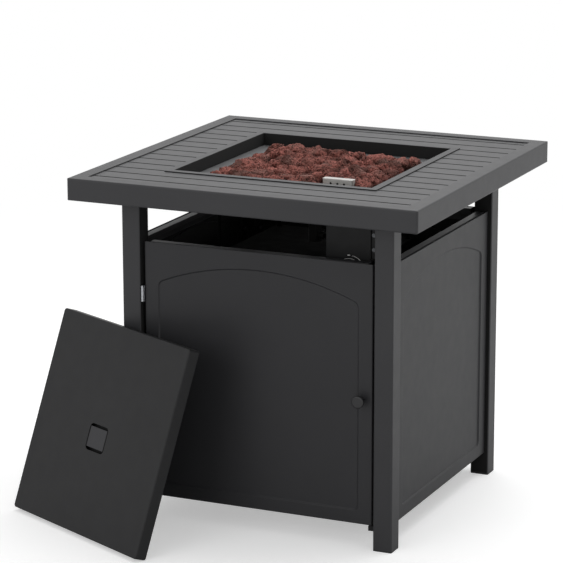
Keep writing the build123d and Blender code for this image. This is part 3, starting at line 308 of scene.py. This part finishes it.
def lava_stone(name, low, high):
    """Porous lava: pink and rusty lumps, brown and ashy ones, with painted shade in the pores and painted
    shade darkening the heap towards its bottom.
    """
    shader = Shader(name)
    lump = shader.noise(19.0, detail=2.0, rough=0.5)
    patch = shader.noise(48.0, detail=5.0, rough=0.65)
    ash = shader.noise(15.0, detail=5.0, rough=0.65)
    fine = shader.noise(300.0, detail=6.0, rough=0.75)
    pores = shader.cells(260.0)
    large_pores = shader.cells(110.0)
    rusty = linear(108, 63, 55)
    pink = linear(172, 108, 98)
    brown = linear(84, 56, 49)
    ashen = linear(138, 112, 104)
    speckled = linear(62, 33, 29)
    stone = shader.mix(shader.ranged(patch, 0.36, 0.6, 0.0, 1.0), rusty, pink)
    stone = shader.mix(shader.ranged(lump, 0.5, 0.62, 0.0, 0.8), stone, brown)
    stone = shader.mix(shader.ranged(ash, 0.52, 0.68, 0.0, 0.7), stone, ashen)
    stone = shader.mix(shader.ranged(fine, 0.45, 0.68, 0.0, 0.75), stone, speckled)
    # Painted shade: the heap gets darker towards its bottom
    rise = shader.ranged(shader.part(shader.place, "Z"), low, high, 0.0, 1.0)
    stone = shader.mix(rise, linear(34, 17, 15), stone)
    # Painted shade in the pores, which the bump also sinks
    small_depth = shader.ranged(pores, 0.1, 0.5, 0.0, 1.0)
    large_depth = shader.ranged(large_pores, 0.05, 0.4, 0.0, 1.0)
    pore_depth = shader.math("MINIMUM", small_depth, large_depth)
    shader.colour(shader.mix(shader.ranged(pore_depth, 0.05, 0.7, 0.0, 1.0), linear(34, 15, 13), stone))
    shader.roughness(shader.spread(fine, 0.84, 0.98))
    shader.set(Specular_IOR_Level=0.2)
    shader.normal(shader.bump(shader.weighed(pore_depth, 0.8, fine, -0.7), 1.0, 2.6 * mm))
    return shader.material


def cast_metal(name):
    """Rough cast iron, dark with soot."""
    shader = Shader(name)
    shader.set(Metallic=0.2, Specular_IOR_Level=0.15)
    skin = shader.noise(350.0, detail=5.0, rough=0.65)
    tone = shader.ranged(skin, 0.35, 0.65, 0.0, 1.0)
    shader.colour(shader.mix(tone, linear(13, 13, 13), linear(28, 27, 26)))
    shader.roughness(shader.spread(skin, 0.65, 0.85))
    shader.normal(shader.bump(skin, 0.5, 0.3 * mm, shader.soft_edge(0.5 * mm)))
    return shader.material


# Face of the lid: a point on it, the way it looks and the way along it
lid_turn = math.radians(-26.3)
lid_lean = math.radians(19.2)
lid_across = Vector((math.cos(lid_turn), math.sin(lid_turn), 0.0))
lid_normal = Vector((
    math.sin(lid_turn) * math.cos(lid_lean), -math.cos(lid_turn) * math.cos(lid_lean), math.sin(lid_lean)
))
lid_face = max((vertex.co for vertex in nodes["lid_shell"].data.vertices), key=lid_normal.dot)

# Grip of the lid: depths of its strap and dish below the face, and where the painted shade at the strap's
# ends begins
strap_depth = 3 * mm
dish_depth = 5 * mm
strap_shift = 1.9 * mm
strap_ends = (25.6 * mm, 26.4 * mm)

# Grooves between the slats: the first one's distance from the middle, their pitch and the band of painted
# shade beside them
groove_half = 303.9 * mm
groove_steps = 13
slat_pitch = 2 * groove_half / groove_steps
groove_shade = (2.4 * mm, 3.4 * mm)
# Roughness of the coat under the painted shade
shade_rough = 0.85

# Powder coat tones: the grain's dark and light tones, and the paler colour of the painted highlight on edges
coat_dark = linear(48, 48, 50)
coat_light = linear(54, 54, 56)
coat_edge_highlight = linear(88, 88, 90)
charcoal = powder_coat("charcoal_coat", coat_dark, coat_light, coat_edge_highlight, 0.41, 0.45, 0.32)
# Legs: painted shade on the faces that look into the cabinet
cabinet_coat = powder_coat(
    "cabinet_coat", coat_dark, coat_light, coat_edge_highlight, 0.41, 0.45, 0.32, shaded=inside_mask, shade_grey=18
)
# Slats: painted shade beside the grooves between them
slat_coat = powder_coat(
    "slat_coat", coat_dark, coat_light, coat_dark, 0.41, 0.45, 0.42, shaded=groove_mask
)
# Panels: painted shade on the faces that look into the cabinet
panel_coat = powder_coat(
    "panel_coat", linear(43, 43, 45), linear(48, 48, 50), coat_edge_highlight, 0.43, 0.47, 0.27,
    shaded=inside_mask, shade_grey=22,
)
# Well: painted shade on its upright walls
well_coat = powder_coat(
    "well_coat", coat_dark, coat_light, coat_edge_highlight, 0.41, 0.45, 0.32, 0.6 * mm, shaded=wall_mask, shade_grey=21
)
lid_coat = powder_coat(
    "lid_coat", linear(36, 36, 37), linear(40, 40, 41), linear(66, 66, 68), 0.46, 0.54, 0.2
)
black_coat = powder_coat(
    "black_coat", linear(15, 15, 16), linear(21, 21, 22), linear(40, 40, 42), 0.5, 0.62, 0.25, 0.8 * mm
)
# Parts inside the cabinet: a near-black, dull coat as painted shade, so they sink into the dark
shaded_black_coat = powder_coat(
    "shaded_black_coat", linear(6, 6, 6), linear(10, 10, 10), linear(18, 18, 18), 0.75, 0.9, 0.03, 0.8 * mm
)
# Burner pan: a pale grey copy of the black coat, as painted reflection
pan_reflection_coat = powder_coat(
    "pan_reflection_coat", linear(82, 82, 83), linear(94, 94, 95), linear(110, 110, 112), 0.4, 0.52, 0.5, 0.8 * mm
)
# Lid grip: the strap's paler colour is painted sheen; the black is painted shade in the dish and at the
# strap's ends
grip_coat = sunk_coat("grip_coat", linear(71, 71, 73), linear(3, 3, 3))
brushed_along = (0.08, 1.0, 1.0)
stainless = brushed_metal(
    "stainless", linear(150, 148, 144), linear(206, 204, 200), 0.34, brushed_along,
    linear(168, 142, 112),
)
# Igniter cover: painted shade inside its box
pale_steel = brushed_metal(
    "pale_steel", linear(178, 176, 172), linear(212, 210, 206), 0.5, brushed_along, metallic=0.3,
    shell=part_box("igniter_cover"),
)
dull_zinc = brushed_metal("dull_zinc", linear(70, 71, 73), linear(104, 105, 108), 0.5)
zinc = brushed_metal("zinc_steel", linear(150, 152, 156), linear(196, 198, 202), 0.38)
brass = brushed_metal(
    "brass", linear(176, 138, 72), linear(218, 182, 104), 0.32, (1.0, 1.0, 0.1), linear(128, 98, 54)
)
iron = cast_metal("cast_iron")
plastic = moulded_plastic("black_plastic", linear(22, 22, 23), linear(31, 31, 33), 0.48)
ceramic = moulded_plastic("white_ceramic", linear(222, 219, 210), linear(236, 233, 226), 0.28, 600.0)
jacket = moulded_plastic("lead_jacket", linear(26, 26, 27), linear(38, 37, 36), 0.62, 2200.0)
white_print = moulded_plastic("white_print", linear(214, 214, 212), linear(230, 230, 228), 0.55, 2600.0)
pan_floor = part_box("lava_rocks")[0][2]
heap_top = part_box("lava_rocks")[1][2]
# Lava: the painted shade fades out from just above the pan's floor to below the heap's top
stone = lava_stone("lava_stone", pan_floor + 8 * mm, heap_top - 12 * mm)

slot_materials = {
    "charcoal_coat": charcoal,
    "black_coat": black_coat,
    "stainless": stainless,
    "zinc_steel": zinc,
    "brass": brass,
    "cast_iron": iron,
    "black_plastic": plastic,
    "white_ceramic": ceramic,
    "lead_jacket": jacket,
    "lava_stone": stone,
}
node_materials = {
    "burner_pan": pan_reflection_coat,
    "well_frame": well_coat,
    "lid_shell": lid_coat,
    "lid_grip": grip_coat,
    "igniter_cover": pale_steel,
    "control_screws": dull_zinc,
    "door_knob": plastic,
}
# Painted shade: the parts inside the cabinet get the near-black coat
for shaded_node in ("heat_shield", "shield_rods", "air_shutter", "feed_pipe"):
    node_materials[shaded_node] = shaded_black_coat
for slat_node in ("long_slats", "short_slats"):
    node_materials[slat_node] = slat_coat
for panel_node in ("left_panel", "right_panel", "rear_panel", "door_panel"):
    node_materials[panel_node] = panel_coat
for corner in ("front_left", "front_right", "rear_left", "rear_right"):
    node_materials[f"leg_{corner}"] = cabinet_coat


def paint(piece, material):
    """One material on every slot of a piece."""
    if not piece.material_slots:
        piece.data.materials.append(material)
    for place in piece.material_slots:
        place.link = "OBJECT"
        place.material = material


for entry in frame["record"]["subparts"]:
    node = entry["node"]
    paint(nodes[node], node_materials.get(node, slot_materials[entry["material_slot"]]))


def add_piece(name, mesh, body, material, smooth=True):
    """A new piece in the place it has at rest, riding on a body."""
    piece = bpy.data.objects.new(name, mesh)
    scene.collection.objects.link(piece)
    if smooth:
        mesh.polygons.foreach_set("use_smooth", [True] * len(mesh.polygons))
    mesh.materials.append(material)
    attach(piece, body)
    return piece


# Lava rocks: a heap of separate jagged lumps, each an icosphere cut by planes and pitted by noise
cover_low, cover_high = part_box("igniter_cover")
rock_draw = random.Random(7)
bowl_half = 163 * mm
rock_detail = 4
cover_gap = 0.6 * mm
floor_gap = 0.2 * mm
facet_count = 13
bubble_kinds = ((2.6, 0.55, 0.44), (4.6, 0.50, 0.42), (8.5, 0.40, 0.38))


def push_clear(point):
    """The nearest place for a point that is inside the bowl and outside the igniter cover."""
    point.x = max(-bowl_half, min(bowl_half, point.x))
    point.y = max(-bowl_half, min(bowl_half, point.y))
    point.z = max(pan_floor + floor_gap, min(heap_top, point.z))
    low_x, high_x = cover_low[0] - cover_gap, cover_high[0] + cover_gap
    low_y, high_y = cover_low[1] - cover_gap, cover_high[1] + cover_gap
    if low_x < point.x < high_x and low_y < point.y < high_y:
        ways = {
            point.x - low_x: Vector((low_x, point.y, point.z)),
            high_x - point.x: Vector((high_x, point.y, point.z)),
            point.y - low_y: Vector((point.x, low_y, point.z)),
            high_y - point.y: Vector((point.x, high_y, point.z)),
        }
        return ways[min(ways)]
    return point


def rock_reach(way, seed, facets):
    """How far a lump's skin is from its middle: broken planes, bubbles and a rough skin."""
    reach = 1.22 + 0.3 * noise.fractal(way * 1.6 + seed, 1.0, 2.0, 3)
    for facet, limit in facets:
        along = way.dot(facet)
        if along * reach > limit:
            reach += 0.92 * (limit / along - reach)
    for scale, depth, size in bubble_kinds:
        bubble = noise.voronoi(way * scale + seed)[0][0]
        reach -= depth * max(0.0, size - bubble)
    reach += 0.22 * noise.turbulence(way * 4.0 + seed, 4, True) - 0.08
    return reach


def add_rock(heap, place, size, flat):
    """One lump of about this half-width, its height squeezed by flat."""
    made = bmesh.ops.create_icosphere(heap, subdivisions=rock_detail, radius=1.0)["verts"]
    seed = Vector([rock_draw.uniform(-50, 50) for _ in range(3)])
    turn = Euler([rock_draw.uniform(0, math.tau) for _ in range(3)]).to_matrix()
    shape = Vector([rock_draw.uniform(0.78, 1.16) for _ in range(3)])
    facets = []
    for _ in range(facet_count):
        way = Vector([rock_draw.gauss(0, 1) for _ in range(3)]).normalized()
        facets.append((way, rock_draw.uniform(0.76, 1.05)))
    for vert in made:
        way = vert.co.normalized()
        skin = way * rock_reach(way, seed, facets)
        point = turn @ Vector([skin[i] * shape[i] for i in range(3)])
        point = Vector((point.x * size, point.y * size, point.z * size * flat))
        vert.co = push_clear(point + place)


def clear_of_cover(x, y, reach):
    """Whether a lump's middle is at least a reach from the igniter cover and the room in front of it."""
    beside_x = max(cover_low[0] - x, x - cover_high[0], 0.0)
    beside_y = max(y - cover_high[1], 0.0)
    return math.hypot(beside_x, beside_y) > reach


rocks = bmesh.new()
row_count = 8
cell = 2 * bowl_half / row_count
# Each layer: rows, offset in cells, wander, half-widths, rises, flatness, share kept, room by the cover
layers = (
    (row_count, 0.5, 6, (20, 25), (15, 20), 0.86, 1.0, 0.45),
    (row_count - 1, 1.0, 8, (12, 18), (23, 28), 0.9, 0.85, 0.7),
)
for rows, offset, wander, sizes, rises, flat, share, reach_share in layers:
    for row in range(rows):
        for column in range(rows):
            size = rock_draw.uniform(*sizes) * mm
            x = -bowl_half + (column + offset) * cell + rock_draw.uniform(-wander, wander) * mm
            y = -bowl_half + (row + offset) * cell + rock_draw.uniform(-wander, wander) * mm
            z = pan_floor + rock_draw.uniform(*rises) * mm
            if rock_draw.random() < share and clear_of_cover(x, y, reach_share * size):
                add_rock(rocks, Vector((x, y, z)), size, flat)
rock_mesh = bpy.data.meshes.new("lava_rock_heap")
rocks.to_mesh(rock_mesh)
rocks.free()
heap = add_piece("lava_rock_heap", rock_mesh, "frame", stone)
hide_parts("lava_rocks")


# Dial marks on the control panel: arcs that grow thicker, ticks and two dots, printed in white
panel_front = -221 * mm
dial = Vector((167 * mm, panel_front, 519 * mm))
print_depth = 0.12 * mm


def on_panel(x, z, reach, angle):
    """A place on the panel's front, at a reach and an angle from a middle."""
    return (x + reach * math.cos(angle), panel_front, z + reach * math.sin(angle))


def flat_print(build):
    """A thin raised print on the front of the control panel, drawn by build in its own plane."""
    mesh_maker = bmesh.new()
    build(mesh_maker)
    faces = mesh_maker.faces[:]
    raised = bmesh.ops.extrude_face_region(mesh_maker, geom=faces)["geom"]
    for item in raised:
        if isinstance(item, bmesh.types.BMVert):
            item.co.y -= print_depth
    bmesh.ops.recalc_face_normals(mesh_maker, faces=mesh_maker.faces[:])
    return mesh_maker


def arc_strip(maker, radius, first, last, thin, thick, steps=28):
    """A strip along an arc round the dial's middle, from one angle and thickness to another."""
    inner = []
    outer = []
    for step in range(steps + 1):
        share = step / steps
        angle = math.radians(first + (last - first) * share)
        half = (thin + (thick - thin) * share) / 2
        for line, reach in ((inner, radius - half), (outer, radius + half)):
            line.append(maker.verts.new(on_panel(dial.x, dial.z, reach, angle)))
    for step in range(steps):
        maker.faces.new((inner[step], inner[step + 1], outer[step + 1], outer[step]))


def disc(maker, x, z, radius, sides=20):
    """A round dot."""
    angles = [math.tau * side / sides for side in range(sides)]
    maker.faces.new([maker.verts.new(on_panel(x, z, radius, angle)) for angle in angles])


def dial_marks(maker):
    """A wedge for the flame's height, a thin inner arc, two bars and two dots."""
    outer_radius = 33 * mm
    inner_radius = 26.5 * mm
    inner_line = 0.6 * mm
    bar_line = 2.0 * mm
    bar_half_angle = 5
    arc_strip(maker, outer_radius, 80, 12, 0.5 * mm, 2.6 * mm)
    arc_strip(maker, inner_radius, 128, 34, inner_line, inner_line)
    for angle in (92, 180):
        arc_strip(maker, outer_radius, angle + bar_half_angle, angle - bar_half_angle, bar_line, bar_line, 6)
    disc(maker, dial.x - 29 * mm, dial.z + 15 * mm, 1.3 * mm)
    disc(maker, dial.x - 17.5 * mm, dial.z + 21 * mm, 1.2 * mm)


marks = flat_print(dial_marks)
mark_mesh = bpy.data.meshes.new("dial_marks")
marks.to_mesh(mark_mesh)
marks.free()
add_piece("dial_marks", mark_mesh, "frame", white_print, smooth=False)


# Camera
camera_data = bpy.data.cameras.new("camera")
camera_data.sensor_width = 36.0
camera_data.lens = 175.243
camera_data.clip_end = 100.0
camera = bpy.data.objects.new("camera", camera_data)
camera.location = (2.1044, -4.7926, 1.7386)
camera.rotation_euler = (math.radians(76.0075), math.radians(0.1159), math.radians(24.3976))
scene.collection.objects.link(camera)
scene.camera = camera


# Studio: white surroundings, and a pale floor that fades into them away from the table
def seen_directly(tree):
    """1 for what the camera, a reflection or a clear piece shows, 0 for light that falls on things."""
    paths = tree.nodes.new("ShaderNodeLightPath")
    seen = paths.outputs["Is Camera Ray"]
    for kind in ("Is Glossy Ray", "Is Transmission Ray"):
        either = tree.nodes.new("ShaderNodeMath")
        either.operation = "MAXIMUM"
        tree.links.new(seen, either.inputs[0])
        tree.links.new(paths.outputs[kind], either.inputs[1])
        seen = either.outputs["Value"]
    return seen


def white_level(tree, dull):
    """Strength of the white surroundings: 1 where they are seen, dull as a light."""
    level = tree.nodes.new("ShaderNodeMapRange")
    level.inputs["To Min"].default_value = dull
    tree.links.new(seen_directly(tree), level.inputs["Value"])
    return level.outputs["Result"]


dull_white = 0.5
world = bpy.data.worlds.new("studio")
scene.world = world
world.use_nodes = True
background = world.node_tree.nodes["Background"]
background.inputs["Color"].default_value = (1.0, 1.0, 1.0, 1.0)
world.node_tree.links.new(white_level(world.node_tree, dull_white), background.inputs["Strength"])

floor_half = 14.0
floor_mesh = bpy.data.meshes.new("floor")
floor_corners = ((-1, -1), (1, -1), (1, 1), (-1, 1))
floor_mesh.from_pydata([(x * floor_half, y * floor_half, 0.0) for x, y in floor_corners], [], [(0, 1, 2, 3)])
floor = bpy.data.objects.new("floor", floor_mesh)
scene.collection.objects.link(floor)
floor_shader = Shader("floor")
floor_shader.set(Roughness=0.9, Specular_IOR_Level=0.1, Emission_Color=(1.0, 1.0, 1.0, 1.0))
speckle = floor_shader.noise(40.0)
floor_shader.colour(floor_shader.mix(speckle, linear(236, 236, 236), linear(240, 240, 240)))
near_paths = floor_shader.add("ShaderNodeLightPath")
near_glow = 0.42
glow = floor_shader.math("MULTIPLY", near_paths.outputs["Is Camera Ray"], near_glow)
floor_shader.join(glow, floor_shader.surface.inputs["Emission Strength"])
far_white = floor_shader.add("ShaderNodeEmission")
floor_shader.join(white_level(floor_shader.tree, dull_white), far_white.inputs["Strength"])
from_table = floor_shader.add("ShaderNodeVectorMath", operation="LENGTH")
floor_shader.join(floor_shader.place, from_table.inputs[0])
fade = floor_shader.add("ShaderNodeMixShader")
fade_start, fade_end = 0.7, 2.8
faded = floor_shader.ranged(from_table.outputs["Value"], fade_start, fade_end, 0.0, 1.0)
floor_shader.join(faded, fade.inputs["Fac"])
floor_shader.join(floor_shader.surface.outputs["BSDF"], fade.inputs[1])
floor_shader.join(far_white.outputs["Emission"], fade.inputs[2])
floor_shader.join(fade.outputs["Shader"], floor_shader.tree.nodes["Material Output"].inputs["Surface"])
floor_mesh.materials.append(floor_shader.material)


def softbox(name, place, target, width, height, power):
    """A rectangular lamp at a place, turned to a target."""
    lamp_data = bpy.data.lights.new(name, "AREA")
    lamp_data.shape = "RECTANGLE"
    lamp_data.size = width
    lamp_data.size_y = height
    lamp_data.energy = power
    lamp = bpy.data.objects.new(name, lamp_data)
    lamp.location = place
    lamp.rotation_euler = (Vector(target) - Vector(place)).to_track_quat("-Z", "Y").to_euler()
    scene.collection.objects.link(lamp)


lit_point = (0.0, 0.0, 0.4)
softbox("top_lamp", (0.3, 1.0, 3.2), lit_point, 3.0, 2.4, 52.0)
softbox("right_lamp", (3.2, 0.4, 1.5), lit_point, 2.0, 2.0, 6.0)
softbox("front_lamp", (-1.0, -3.6, 1.6), lit_point, 2.0, 1.6, 20.0)

scene.view_settings.view_transform = "Standard"
